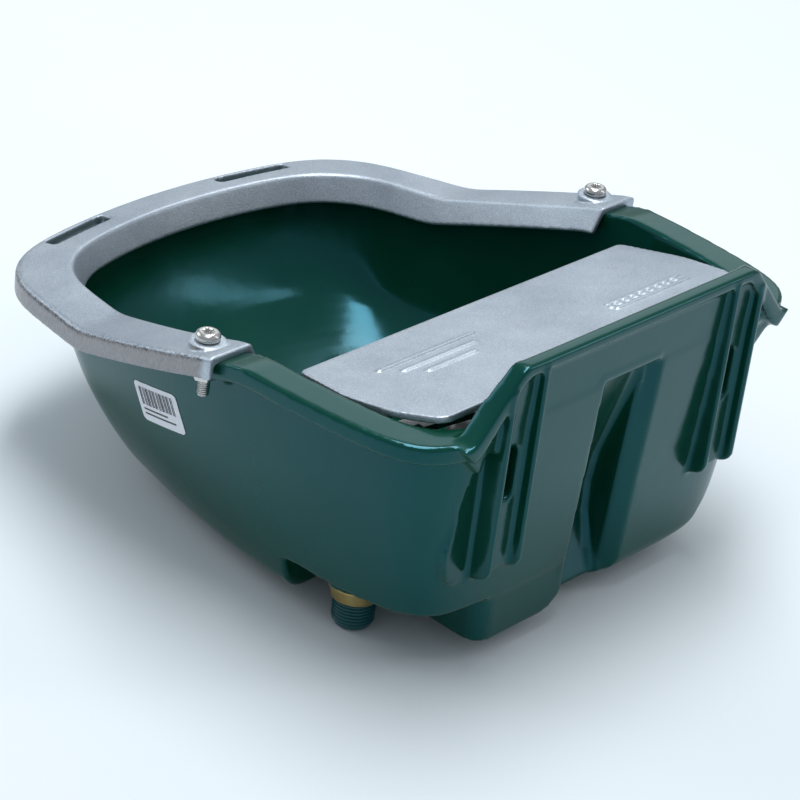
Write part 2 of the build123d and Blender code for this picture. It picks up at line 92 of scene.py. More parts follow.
VALVE_X, VALVE_Y, STEM_BOTTOM = 98.0, -70.5, -107.0
THREAD_R, THREAD_PITCH, THREAD_DEPTH = 10.4775, 1.814, 1.1
LABEL_MIDDLE = (123.5, -185.6, -36.8)

REAR_CORNER = [(0.79, 0.0), (0.908, 0.035), (0.955, 0.105)]
SIDE = [(0.955, 0.105), (1.0, 0.345), (0.87, 0.80)]
FRONT_CORNER = [(0.87, 0.80), (0.79, 0.905), (0.62, 0.962)]


# ---- Flat outlines -----------------------------------------------------------------------------------

def arc(a, b, c, steps):
    """Points of the circular arc from a through b to c, without its last point."""
    (ax, ay), (bx, by), (cx, cy) = a, b, c
    d = 2 * (ax * (by - cy) + bx * (cy - ay) + cx * (ay - by))
    sa, sb, sc = ax * ax + ay * ay, bx * bx + by * by, cx * cx + cy * cy
    ox = (sa * (by - cy) + sb * (cy - ay) + sc * (ay - by)) / d
    oy = (sa * (cx - bx) + sb * (ax - cx) + sc * (bx - ax)) / d
    radius = math.hypot(ax - ox, ay - oy)
    start = math.atan2(ay - oy, ax - ox)
    turn = (math.atan2(cy - oy, cx - ox) - start + math.pi) % (2 * math.pi) - math.pi
    angles = [start + turn * i / steps for i in range(steps)]
    return [(ox + radius * math.cos(t), oy + radius * math.sin(t)) for t in angles]


def rounded(corners, radii, closed=True, steps=7):
    """A polyline in two dimensions with every corner turned into an arc of its own radius."""
    if isinstance(radii, (int, float)):
        radii = [radii] * len(corners)
    result = []
    for i, corner in enumerate(corners):
        at_end = not closed and i in (0, len(corners) - 1)
        if at_end or radii[i] == 0:
            result.append(corner)
            continue
        p = Vector(corner)
        d1 = (Vector(corners[i - 1]) - p).normalized()
        d2 = (Vector(corners[(i + 1) % len(corners)]) - p).normalized()
        opening = d1.angle(d2)
        if math.pi - opening < 0.001:
            result.append(corner)
            continue
        centre = p + (d1 + d2).normalized() * radii[i] / math.sin(opening / 2)
        reach = radii[i] / math.tan(opening / 2)
        v1, v2, sweep = p + d1 * reach - centre, p + d2 * reach - centre, math.pi - opening
        for k in range(steps + 1):
            share = k / steps
            mix = v1 * math.sin((1 - share) * sweep) + v2 * math.sin(share * sweep)
            result.append(tuple(centre + mix / math.sin(sweep)))
    return result


def evened(points, passes):
    """A closed outline with small kinks smoothed away."""
    for _ in range(passes):
        trio = zip(points[-1:] + points[:-1], points, points[1:] + points[:1])
        points = [((a[0] + 2 * b[0] + c[0]) / 4, (a[1] + 2 * b[1] + c[1]) / 4) for a, b, c in trio]
    return points


def outline(half, back, front):
    """Plan outline: straight back, rounded rear corners, full sides and a bowed front."""
    def place(share, run):
        return (half * share, back + (front - back) * run)

    right = []
    for part, steps in ((REAR_CORNER, 12), (SIDE, 44), (FRONT_CORNER, 22)):
        right += arc(*[place(*point) for point in part], steps)
    left_end = place(-FRONT_CORNER[2][0], FRONT_CORNER[2][1])
    bow = arc(place(*FRONT_CORNER[2]), place(0, 1), left_end, 50)
    left = [(-x, y) for x, y in reversed(right)]
    start, end = left[-1], right[0]
    rear = [(start[0] + (end[0] - start[0]) * i / 32, back) for i in range(1, 32)]
    return evened(right + bow + [left_end] + left + rear, 30)


def rim_line(level, drop, radius=60):
    """Top line of the rim from the side: flat, falling beside the basin, then the front lip."""
    foot = GUARD_LEVEL + (SLOPE_END - SLOPE_START) * SLOPE - drop
    start = SLOPE_END + (level - foot) / SLOPE
    far = -350.0
    corners = [(10.0, level), (start, level), (SLOPE_END, foot), (far, foot + (far - SLOPE_END) * LIP_FALL)]
    return rounded(corners, radius, closed=False, steps=12)


def height_on(line, y):
    """Height of a rim line at a place along the bowl."""
    for (y1, z1), (y2, z2) in zip(line, line[1:]):
        if y2 <= y <= y1:
            return z1 + (z2 - z1) * (y - y1) / (y2 - y1)
    return line[-1][1]


# ---- Meshes and solid work ---------------------------------------------------------------------------

def new_object(name, points, faces):
    """Object from points in millimetres, with its faces turned outwards."""
    mesh = bpy.data.meshes.new(name)
    mesh.from_pydata([(x * MM, y * MM, z * MM) for x, y, z in points], [], faces)
    work = bmesh.new()
    work.from_mesh(mesh)
    bmesh.ops.recalc_face_normals(work, faces=work.faces)
    work.to_mesh(mesh)
    work.free()
    obj = bpy.data.objects.new(name, mesh)
    bpy.context.scene.collection.objects.link(obj)
    return obj


def loft(name, rings, ring_closed=False):
    """Skin over rings with equal numbers of points, capped at both ends or joined into a loop."""
    count = len(rings[0])
    points = [point for ring in rings for point in ring]
    faces = []
    last = len(rings) if ring_closed else len(rings) - 1
    for i in range(last):
        low, high = i * count, (i + 1) % len(rings) * count
        for k in range(count):
            n = (k + 1) % count
            faces.append((low + k, low + n, high + n, high + k))
    if not ring_closed:
        faces.append(tuple(range(count)))
        faces.append(tuple(range(len(points) - count, len(points))))
    return new_object(name, points, faces)


def prism(outline_points, low, high, axis="z"):
    """A flat outline carried from low to high along an axis. The outline is in the other two axes."""
    def point(a, b, c):
        return {"z": (a, b, c), "x": (c, a, b), "y": (a, c, b)}[axis]

    return loft("tool", [[point(a, b, c) for a, b in outline_points] for c in (low, high)])


def box(x, y, z):
    """Block between low and high corners."""
    return prism([(x[0], y[0]), (x[1], y[0]), (x[1], y[1]), (x[0], y[1])], *z)


def bar(radius, low, high, a, b, axis="z", count=56):
    """Round bar along an axis."""
    turns = [2 * math.pi * i / count for i in range(count)]
    return prism([(a + radius * math.cos(t), b + radius * math.sin(t)) for t in turns], low, high, axis)


def lathe(name, profile, x, y, count=72):
    """Closed profile of radius and height, turned round an upright line."""
    rings = []
    for radius, height in profile:
        turns = [2 * math.pi * i / count for i in range(count)]
        rings.append([(x + radius * math.cos(t), y + radius * math.sin(t), height) for t in turns])
    return loft(name, rings, ring_closed=True)


def column(half, back, front, low=-140.0, high=90.0):
    """The plan outline as an upright column."""
    return prism(outline(half, back, front), low, high)


def slab(line, top, depth, half=170.0):
    """Sheet across the bowl that follows a rim line, from top to depth below it."""
    upper = [(y, z - top) for y, z in line]
    lower = [(y, z - depth) for y, z in reversed(line)]
    return prism(upper + lower, -half, half, "x")


def solid(base, steps, voxel=None, soften=0, keep=1.0):
    """Adds, cuts and meets solids in order, then rounds every edge as a casting or moulding has it."""
    operations = {"add": "UNION", "cut": "DIFFERENCE", "meet": "INTERSECT"}
    for word, tool in steps:
        step = base.modifiers.new(word, "BOOLEAN")
        step.operation, step.solver, step.object = operations[word], "MANIFOLD", tool
    if voxel:
        remesh = base.modifiers.new("remesh", "REMESH")
        remesh.mode, remesh.voxel_size = "VOXEL", voxel * MM
    if soften:
        smooth = base.modifiers.new("soften", "SMOOTH")
        smooth.factor, smooth.iterations = 0.5, soften
    if keep < 1.0:
        thin = base.modifiers.new("thin", "DECIMATE")
        thin.ratio = keep
    graph = bpy.context.evaluated_depsgraph_get()
    mesh = bpy.data.meshes.new_from_object(base.evaluated_get(graph))
    base.modifiers.clear()
    base.data = mesh
    for _, tool in steps:
        if tool.name in bpy.data.objects:
            bpy.data.objects.remove(tool)
    return base


def finished(obj, name, body, slot, material, *nodes):
    """Names a piece, shades it smooth and ties it to its body and the nodes it stands for; its slot argument
    is not used.
    """
    obj.name = name
    obj.data.name = name
    for face in obj.data.polygons:
        face.use_smooth = True
    if not any(obj.data.materials):
        obj.data.materials.clear()
        obj.data.materials.append(material)
    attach(obj, body)
    if nodes:
        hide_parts(*nodes)
    return obj


# ---- Materials ---------------------------------------------------------------------------------------

class Nodes:
    """Short way to lay out a node material."""

    def __init__(self, name):
        self.material = bpy.data.materials.new(name)
        self.material.use_nodes = True
        self.tree = self.material.node_tree
        self.shader = self.tree.nodes["Principled BSDF"]
        self.place = self.tree.nodes.new("ShaderNodeTexCoord").outputs["Object"]

    def node(self, kind, **values):
        made = self.tree.nodes.new("ShaderNode" + kind)
        for key, value in values.items():
            if key in made.inputs:
                self.feed(made.inputs[key], value)
            else:
                setattr(made, key, value)
        return made

    def feed(self, socket, value):
        if isinstance(value, bpy.types.NodeSocket):
            self.tree.links.new(value, socket)
        else:
            socket.default_value = value

    def stretched(self, scale):
        """Object coordinates, scaled along each axis."""
        made = self.node("Mapping", Vector=self.place)
        made.inputs["Scale"].default_value = scale
        return made.outputs["Vector"]

    def noise(self, scale, detail=3.0, vector=None, roughness=0.5):
        made = self.node("TexNoise", Scale=scale, Detail=detail, Roughness=roughness)
        self.feed(made.inputs["Vector"], vector or self.place)
        return made.outputs["Fac"]

    def ramp(self, value, low, high, first, last):
        """A value between two limits, mapped to two colours or grey levels."""
        made = self.node("ValToRGB", Fac=value)
        ends = made.color_ramp.elements
        ends[0].position, ends[1].position = low, high
        for end, colour in zip(ends, (first, last)):
            end.color = (*colour, 1.0) if isinstance(colour, tuple) else (colour, colour, colour, 1.0)
        return made.outputs["Color"]

    def mix(self, share, first, second, kind="MIX"):
        made = self.tree.nodes.new("ShaderNodeMixRGB")
        made.blend_type = kind
        for key, value in (("Fac", share), ("Color1", first), ("Color2", second)):
            if isinstance(value, tuple):
                value = (*value, 1.0)
            self.feed(made.inputs[key], value)
        return made.outputs["Color"]

    def bump(self, layers):
        """Bump from several heights, each with its depth in metres, stacked."""
        normal = None
        for height, depth in layers:
            made = self.node("Bump", Height=height, Distance=depth, Strength=1.0)
            if normal:
                self.feed(made.inputs["Normal"], normal)
            normal = made.outputs["Normal"]
        self.feed(self.shader.inputs["Normal"], normal)

    def set(self, **values):
        for key, value in values.items():
            socket = self.shader.inputs[key.replace("_", " ")]
            if isinstance(value, tuple) and len(value) == 3:
                value = (*value, 1.0)
            self.feed(socket, value)
        return self.material


def bowl_plastic():
    """Glossy dark green moulded plastic with a slight flow and fine dust."""
    n = Nodes("bowl_plastic")
    flow = n.noise(14, 3)
    colour = n.ramp(flow, 0.3, 0.75, (0.001, 0.038, 0.021), (0.003, 0.052, 0.027))
    dust = n.ramp(n.noise(900, 2), 0.70, 0.80, 0.0, 0.10)
    colour = n.mix(dust, colour, (0.20, 0.30, 0.28))
    rough = n.ramp(n.noise(30, 4), 0.3, 0.8, 0.13, 0.24)
    n.bump([(n.noise(45, 2), 0.00018), (n.noise(420, 2), 0.00002)])
    return n.set(Base_Color=colour, Roughness=rough, IOR=1.6, Specular_Tint=(0.22, 0.72, 1.0))


def cast_aluminium(name="cast_aluminium"):
    """Sand-cast aluminium: fine grain, soft stains, and a linished skirt where the piece says so."""
    n = Nodes(name)
    stains = n.ramp(n.noise(22, 5, roughness=0.6), 0.3, 0.75, (0.36, 0.41, 0.47), (0.50, 0.56, 0.63))
    grain = n.noise(1500, 3)
    colour = n.mix(0.35, stains, n.ramp(grain, 0.3, 0.72, 0.25, 0.95), "OVERLAY")
    ground = n.node("Attribute", attribute_name="linished").outputs["Fac"]
    streak = n.noise(1.0, 3, n.stretched((2600, 2600, 420)))
    brushed = n.ramp(streak, 0.3, 0.72, (0.21, 0.205, 0.215), (0.34, 0.33, 0.34))
    colour = n.mix(ground, colour, brushed)
    pits = n.ramp(n.noise(700, 4, roughness=0.7), 0.46, 0.60, 0.0, 1.0)
    edge = n.node("Attribute", attribute_name="pitted").outputs["Fac"]
    pitted = n.mix(1.0, pits, edge, "MULTIPLY")
    colour = n.mix(pitted, colour, (0.05, 0.05, 0.06))
    rough = n.mix(ground, n.ramp(grain, 0.2, 0.8, 0.36, 0.52), (0.34, 0.34, 0.34))
    n.bump([(n.noise(60, 3), 0.0003), (grain, 0.00012), (streak, 0.00003)])
    return n.set(Base_Color=colour, Metallic=0.82, Roughness=rough)


def steel():
    """Turned stainless steel."""
    n = Nodes("stainless")
    turned = n.noise(1.0, 3, n.stretched((500, 500, 3500)))
    colour = n.ramp(turned, 0.3, 0.75, (0.50, 0.49, 0.47), (0.74, 0.73, 0.71))
    rough = n.ramp(n.noise(260, 3), 0.3, 0.8, 0.20, 0.36)
    n.bump([(turned, 0.00002)])
    return n.set(Base_Color=colour, Metallic=1.0, Roughness=rough)


def brass():
    """Turned brass, slightly dulled."""
    n = Nodes("brass")
    turned = n.noise(1.0, 3, n.stretched((160, 160, 3000)))
    dull = n.noise(120, 4)
    colour = n.ramp(dull, 0.3, 0.75, (0.36, 0.25, 0.085), (0.60, 0.45, 0.19))
    n.bump([(turned, 0.00004)])
    return n.set(Base_Color=colour, Metallic=0.95, Roughness=n.ramp(turned, 0.3, 0.8, 0.28, 0.42))


def satin_plastic(name, dark, light, rough=0.38):
    """Moulded technical plastic with a fine spark-eroded grain."""
    n = Nodes(name)
    colour = n.ramp(n.noise(35, 3), 0.3, 0.75, dark, light)
    grain = n.noise(1800, 2)
    n.bump([(grain, 0.00003)])
    return n.set(Base_Color=colour, Roughness=n.ramp(grain, 0.3, 0.8, rough - 0.06, rough + 0.08), IOR=1.5)


def label_paper():
    """White coated label paper."""
    n = Nodes("label_paper")
    fibres = n.noise(2600, 3)
    colour = n.ramp(fibres, 0.3, 0.75, (0.78, 0.80, 0.86), (0.86, 0.88, 0.93))
    n.bump([(fibres, 0.00001)])
    return n.set(Base_Color=colour, Roughness=0.42)


def label_ink():
    """Dark grey printing ink."""
    n = Nodes("label_ink")
    colour = n.ramp(n.noise(1500, 2), 0.3, 0.75, (0.035, 0.035, 0.04), (0.09, 0.09, 0.10))
    return n.set(Base_Color=colour, Roughness=0.5)


def studio_floor():
    """Pale matt floor."""
    n = Nodes("studio_floor")
    colour = n.ramp(n.noise(3, 2), 0.3, 0.7, (0.80, 0.86, 0.90), (0.82, 0.88, 0.92))
    return n.set(Base_Color=colour, Roughness=0.9)


# ---- Camera, light and floor -------------------------------------------------------------------------

def make_camera():
    """Camera behind and above the bowl, a little rolled."""
    azimuth, elevation, roll = [math.radians(v) for v in (129.976, 29.309, 7.3755)]
    flat = math.cos(elevation)
    back = Vector((math.sin(azimuth) * flat, -math.cos(azimuth) * flat, math.sin(elevation)))
    level = Vector((0, 0, 1)).cross(back).normalized()
    above = back.cross(level)
    right = level * math.cos(roll) + above * math.sin(roll)
    up = above * math.cos(roll) - level * math.sin(roll)
    data = bpy.data.cameras.new("camera")
    data.sensor_width, data.lens = 36.0, 127.3
    camera = bpy.data.objects.new("camera", data)
    bpy.context.scene.collection.objects.link(camera)
    camera.rotation_mode = "QUATERNION"
    turn = camera.matrix_world.to_3x3()
    turn.col[0], turn.col[1], turn.col[2] = right, up, back
    camera.rotation_quaternion = turn.to_quaternion()
    camera.location = (0.94627, 0.65268, 0.64052)
    bpy.context.scene.camera = camera


def soft_light(name, place, target, size, power, colour=(1.0, 1.0, 1.0)):
    data = bpy.data.lights.new(name, "AREA")
    data.shape, data.size, data.size_y = "RECTANGLE", size[0], size[1]
    data.energy, data.color = power, colour
    light = bpy.data.objects.new(name, data)
    bpy.context.scene.collection.objects.link(light)
    light.location = place
    light.rotation_mode = "QUATERNION"
    light.rotation_quaternion = (Vector(target) - Vector(place)).to_track_quat("-Z", "Y")


def make_studio():
    """Pale floor and sky with large soft lights."""
    world = bpy.data.worlds.new("studio")
    bpy.context.scene.world = world
    world.use_nodes = True
    sky = world.node_tree.nodes["Background"]
    sky.inputs["Color"].default_value = (0.86, 0.93, 1.0, 1.0)
    sky.inputs["Strength"].default_value = 0.42
    middle = (0.0, -0.16, -0.02)
    soft_light("overhead", (-0.2, -0.3, 1.7), middle, (0.5, 1.7), 25, (0.97, 0.99, 1.0))
    soft_light("rear_strip", (-1.1, 0.9, 0.9), middle, (0.25, 1.4), 3, (1.0, 1.0, 1.0))
    soft_light("front_wash", (0.6, -1.6, 0.9), middle, (1.2, 0.8), 6, (0.92, 0.97, 1.0))
    soft_light("far_panel", (-1.3, -1.25, 0.95), middle, (1.5, 0.7), 2.6, (0.95, 0.98, 1.0))
    level = CAD_BOX[0].z / MM - 1.0
    reach = 6000.0
    corners = [(-reach, -reach, level), (reach, -reach, level), (reach, reach, level), (-reach, reach, level)]
    floor = new_object("floor", corners, [(0, 1, 2, 3)])
    floor.data.materials.append(studio_floor())


# ---- Bowl --------------------------------------------------------------------------------------------

def skin_at(height):
    """Half width, back and front of the outer skin at a height, along smooth curves."""
    rows = sorted(LEVELS)
    height = min(max(height, rows[0][0]), rows[-1][0])
    i = max(k for k in range(len(rows) - 1) if rows[k][0] <= height)
    (z1, *start), (z2, *end) = rows[i], rows[i + 1]
    before, after = rows[max(i - 1, 0)], rows[min(i + 2, len(rows) - 1)]
    span, s = z2 - z1, (height - z1) / (z2 - z1)
    values = []
    for k in range(3):
        m1 = (end[k] - before[k + 1]) / (z2 - before[0]) * span
        m2 = (after[k + 1] - start[k]) / (after[0] - z1) * span
        square, cube = s * s, s * s * s
        values.append((2 * cube - 3 * square + 1) * start[k] + (cube - 2 * square + s) * m1
                      + (3 * square - 2 * cube) * end[k] + (cube - square) * m2)
    return values


def bowl_form(name, inset, floor, corner, top=60.0, count=64, corner_steps=10):
    """Body through the skin's levels, moved inwards, with a rounded edge all round its floor."""
    rings = []
    for i in range(count + 1):
        turn = math.pi / 2 * min(i / corner_steps, 1.0)
        if i <= corner_steps:
            height = floor + corner * (1 - math.cos(turn))
            tuck = corner * (1 - math.sin(turn))
        else:
            height = floor + corner + (top - floor - corner) * (i - corner_steps) / (count - corner_steps)
            tuck = 0.0
        half, back, front = skin_at(height)
        step = inset + tuck
        rings.append([(x, y, height) for x, y in outline(half - step, back - step, front + step)])
    return loft(name, rings)


def rim_ring():
    """Flat rim with its turned-down lip."""
    line = rim_line(RIM_LEVEL, GUARD_STEP)
    plate = solid(column(RIM_HALF, RIM_BACK, RIM_FRONT), [("meet", slab(line, 0, RIM_THICK + 0.5))])
    hollow = column(RIM_HALF - 2.8, RIM_BACK - 2.8, RIM_FRONT + 2.8)
    lip = solid(column(RIM_HALF, RIM_BACK, RIM_FRONT), [("cut", hollow), ("meet", slab(line, 1, LIP_DEPTH))])
    behind = box((-RIM_GAP, RIM_GAP), (-12, 5), (0, RIM_LEVEL + 10))
    return solid(plate, [("add", lip), ("cut", behind)])


def rear_shelf(side):
    """Wider rim in one rear corner, beside the cover."""
    hollow = column(SHELF_HALF, SHELF_BACK, RIM_FRONT + 8)
    low, high = sorted((side * SHELF_START, side * 160))
    steps = [("cut", hollow), ("meet", slab(rim_line(RIM_LEVEL, GUARD_STEP), 0, RIM_THICK + 0.5)),
             ("meet", box((low, high), (-64, 0), (0, 40)))]
    return solid(column(RIM_HALF - 1, RIM_BACK - 1, RIM_FRONT + 1), steps)


def back_panel():
    """Raised back panel and its stiffening bar."""
    sheet = [(-100, 6), (-118, RIM_LEVEL), (-112, RIM_LEVEL), (-84, BACK_TOP),
             (84, BACK_TOP), (112, RIM_LEVEL), (118, RIM_LEVEL), (100, 6)]
    low = RIM_LEVEL - LIP_DEPTH
    under = [(-135, low - 12), (-135, low), (-108, low), (-80.6, BACK_TOP - 6),
             (80.6, BACK_TOP - 6), (108, low), (135, low), (135, low - 12)]
    panel = prism(rounded(sheet, [0, 0, 8, 9, 9, 8, 0, 0]), -7.5 - WALL, -2.0, "y")
    lean = [(-3.9, 62), (-5.9, 12), (-7.6, -14), (-20, -14), (-20, 62)]
    panel = solid(panel, [("meet", prism(lean, -170, 170, "x"))])
    top_bar = prism(rounded(sheet, [0, 0, 8, 9, 9, 8, 0, 0]), -12.0, -0.6, "y")
    hollow = prism(rounded(under, [0, 0, 14, 8, 8, 14, 0, 0]), -40, 20, "y")
    return solid(panel, [("add", solid(top_bar, [("cut", hollow)]))])


def rib_fin(side, low, high, top):
    """One fin of a mounting rib, rounded at its foot."""
    shape = [(RIB_INSIDE, top), (FIN_EDGE, top), (FIN_EDGE, RIB_BOTTOM), (RIB_INSIDE, RIB_BOTTOM - 4)]
    turned = rounded(shape, [0, 0, 7, 0])
    return prism(turned, *sorted((side * low, side * high)), "x")


def rib_base(side):
    """Channel floor of a mounting rib."""
    x1, x2, top = side * RIB_INNER, side * RIB_OUTER, BACK_TOP - 5
    corners = [(x1, top), (side * 84, top), (x2, OUTER_FIN_TOP - 1), (x2, RIB_BOTTOM - 3), (x1, RIB_BOTTOM)]
    return prism(rounded(corners, [0, 0, 0, 9, 6]), RIB_INSIDE, CHANNEL_FLOOR, "y")


def rib_pocket(side, low, high):
    """Drafted pocket in the corner beside a rib."""
    x = RIB_OUTER
    shape = [(side * (x - 0.2), 16), (side * (x + 5), 16), (side * (x + 17), -40), (side * (x + 13), -56),
             (side * (x - 0.2), -56)]
    return prism(rounded(shape, [0, 3, 14, 10, 0]), low, high, "y")


def wall_slot(side):
    """Upright slot for a wall bolt."""
    x = side * SLOT_X
    half, tall = SLOT_WIDTH / 2, SLOT_HEIGHT / 2
    shape = [(x - half, -tall), (x + half, -tall), (x + half, tall), (x - half, tall)]
    return prism(rounded(shape, half - 0.01), -40, 30, "y")


def groove(grow, top, low):
    """Upright groove in the back, deepest halfway down, with one flared edge."""
    half = GROOVE_HALF + grow
    rings = []
    depths = [(-12, top), (-12, top - 2), (-22, -8), (-29, -32), (-31, -50), (-30, -66), (-25, -84),
              (-20, FLOOR)]
    if low < FLOOR:
        depths.append((-20, low))
    for depth, height in depths:
        flare = 1 if grow else 8
        mouth = skin_at(height)[1] + 0.2
        shape = [(-half - flare, 4), (-half - flare, mouth), (-half, mouth - flare * 0.8 - 0.5),
                 (-half, depth - grow), (half, depth - grow), (half + 0.5, mouth - 1), (half + 1.5, 4)]
        rings.append([(x, y, height) for x, y in rounded(shape, [0, 0, 3, 5, 5, 2, 0])])
    return loft("tool", rings)


def outside_corner(grow):
    """Space outside the big rounding of the lower rear corner, which fades out towards the front."""
    rings = []
    for y, x, z, radius in HULL_CORNER:
        turns = [math.radians(270 - 5.5 * i) for i in range(15)]
        ring = [(x + (radius - grow) * math.cos(t), y, z + (radius - grow) * math.sin(t)) for t in turns]
        ring += [(ring[-1][0] - 28, y, -15), (-185, y, -15), (-185, y, -125), (ring[0][0], y, -125)]
        rings.append(ring)
    return loft("tool", rings)


def foot_block():
    """Foot under the float chamber, flush with the back, with a big rounding beside the groove."""
    plan = [(RECESS_SIDE, FOOT_FRONT), (FOOT_SIDE, FOOT_FRONT), (FOOT_SIDE - 1, FOOT_BACK),
            (RECESS_SIDE, FOOT_BACK)]
    block = prism(rounded(plan, [2, 9, 9, 0]), FLOOR, UNDERSIDE + 8)
    x, z = RECESS_SIDE + 1, FLOOR
    outside = [(x - 9, z + 22), (x, z + 22), (x, z), (x + 30, z), (x + 30, z - 9), (x - 9, z - 9)]
    return solid(block, [("cut", prism(rounded(outside, [0, 0, FOOT_ROUND, 0, 0, 0]), -90, 20, "y"))])


def bowl_shell():
    """The moulded bowl in one piece."""
    line = rim_line(RIM_LEVEL, GUARD_STEP)
    under = [(RECESS_FRONT, -150), (RECESS_FRONT, UNDERSIDE), (-50, UNDERSIDE), (-18, -74), (20, -69),
             (20, -150)]
    steps = [("meet", slab(line, 1.0, 220)),
             ("cut", prism(rounded(under, [0, 2, 0, 25, 0, 0]), RECESS_SIDE, 170, "x")),
             ("cut", outside_corner(0)),
             ("add", foot_block()),
             ("add", bar(16, BOSS_BOTTOM, UNDERSIDE + 3, VALVE_X, VALVE_Y)),
             ("add", rim_ring()),
             ("add", back_panel())]
    shallow = box((RECESS_SIDE - WALL, 170), (RECESS_FRONT - WALL, 10), (-140, UNDERSIDE + WALL))
    inside = [("cut", shallow), ("cut", outside_corner(WALL))]
    steps.append(("cut", solid(bowl_form("water", WALL, FLOOR + WALL, 26, 62), inside)))
    keep_in = bowl_form("keep", 0, FLOOR, 9)
    steps.append(("add", solid(groove(WALL, GROOVE_TOP + WALL, FLOOR), [("meet", keep_in)])))
    steps.append(("cut", groove(0, GROOVE_TOP, -130)))
    for side in (1, -1):
        steps.append(("add", rib_pocket(side, -18, -12)))
        steps.append(("cut", rib_pocket(side, -12.5, 10)))
        steps.append(("add", rib_base(side)))
        steps.append(("add", rib_fin(side, RIB_INNER, RIB_INNER + FIN, BACK_TOP - 4)))
        steps.append(("add", rib_fin(side, RIB_OUTER - FIN, RIB_OUTER, OUTER_FIN_TOP)))
        steps.append(("add", rear_shelf(side)))
        low, high = sorted((side * (LUG_X - LUG_WIDE / 2), side * (LUG_X + LUG_WIDE / 2)))
        steps.append(("add", box((low, high), (HINGE_Y, -7), (HINGE_Z - 5, HINGE_Z + 5))))
        steps.append(("add", bar(5, low, high, HINGE_Y, HINGE_Z, "x")))
        steps.append(("add", bar(8, NUT_SEAT, NUT_SEAT + 2, side * SCREW_X, SCREW_Y)))
        steps.append(("cut", bar(3.3, NUT_SEAT - 20, 40, side * SCREW_X, SCREW_Y)))
        steps.append(("cut", wall_slot(side)))
        steps.append(("cut", bar(HINGE_PIN_R + 0.3, low - 2, high + 2, HINGE_Y, HINGE_Z, "x")))
    steps.append(("cut", bar(THREAD_R + 0.6, -130, -50, VALVE_X, VALVE_Y)))
    bowl = solid(bowl_form("bowl", 0, FLOOR, 9), steps, voxel=1.15, soften=7, keep=0.3)
    return finished(bowl, "bowl_shell", "bowl", "bowl_plastic", bowl_plastic(), "bowl_body")


# ---- Guard and its screws ----------------------------------------------------------------------------

def guard_sweep():
    """Channel section carried round the outline. Across is measured from the outer edge inwards."""
    width = GUARD_HALF - GUARD_INNER
    section = [(0, GUARD_SKIRT), (0, 0), (width - 1, 0), (width + 6, 13), (width + 2.8, 13.6),
               (width - 2.5, 4.3), (3.5, 4.3), (3.5, GUARD_SKIRT)]
    section = rounded(section, [0.8, 2.6, 2.6, 1.0, 0.6, 1.5, 1.5, 0.8], steps=5)
    line = rim_line(GUARD_LEVEL, 0)
    outer = outline(GUARD_HALF, 0, GUARD_FRONT)
    inner = outline(GUARD_INNER, 0, GUARD_INNER_FRONT)
    rings = []
    for (ox, oy), (ix, iy) in zip(outer, inner):
        if oy > GUARD_END + 40:
            continue
        ring = []
        for across, depth in section:
            share = across / width
            x, y = ox + (ix - ox) * share, oy + (iy - oy) * share
            front = min(max((-170 - y) / 90, 0), 1)
            rise = 2.2 * front * min(max(share, 0), 1) if depth < 4 else 0
            ring.append((x, y, height_on(line, y) - depth + rise))
        rings.append(ring)
    return loft("guard", rings)


def guard_piece():
    """Cast rim guard with its screw pads and drain slots."""
    steps = [("meet", box((-200, 200), (-400, GUARD_END), (-100, 60)))]
    for side in (1, -1):
        steps.append(("add", bar(9, SCREW_SEAT - 6, SCREW_SEAT - 0.2, side * SCREW_X, SCREW_Y)))
        steps.append(("cut", bar(3.4, -20, 60, side * SCREW_X, SCREW_Y)))
        turn = math.radians(DRAIN_TURN * side)
        corners = []
        for run, rise in ((-1, -1), (1, -1), (1, 1), (-1, 1)):
            along, across = run * DRAIN_LONG / 2, rise * DRAIN_WIDE / 2
            x = side * DRAIN_X + along * math.cos(turn) - across * math.sin(turn)
            corners.append((x, DRAIN_Y + along * math.sin(turn) + across * math.cos(turn)))
        steps.append(("cut", prism(rounded(corners, 2.5), -60, 20)))
    guard = solid(guard_sweep(), steps, voxel=0.8, soften=5, keep=0.35)
    mark_linished(guard)
    return finished(guard, "rim_guard_casting", "bowl", "cast_aluminium", cast_aluminium(), "rim_guard")


def mark_linished(guard):
    """Marks where the skirt was ground smooth, and the pitted line left along its top edge."""
    line = rim_line(GUARD_LEVEL, 0)
    mesh = guard.data
    ground = mesh.attributes.new("linished", "FLOAT", "POINT").data
    pits = mesh.attributes.new("pitted", "FLOAT", "POINT").data
    for vertex in mesh.vertices:
        x, y, z = vertex.co / MM
        outward = Vector((x, (y + 190) * 0.8, 0)).normalized()
        facing = vertex.normal.dot(outward)
        depth = height_on(line, y) - z
        inside = min(max((GUARD_END - 3 - y) / 3, 0), 1)
        ground[vertex.index].value = inside * min(max((facing - 0.72) / 0.15, 0), 1)
        band = max(0.0, 1 - abs(depth - 1.4) / 1.8)
        pits[vertex.index].value = inside * band * min(max((facing - 0.15) / 0.3, 0), 1)


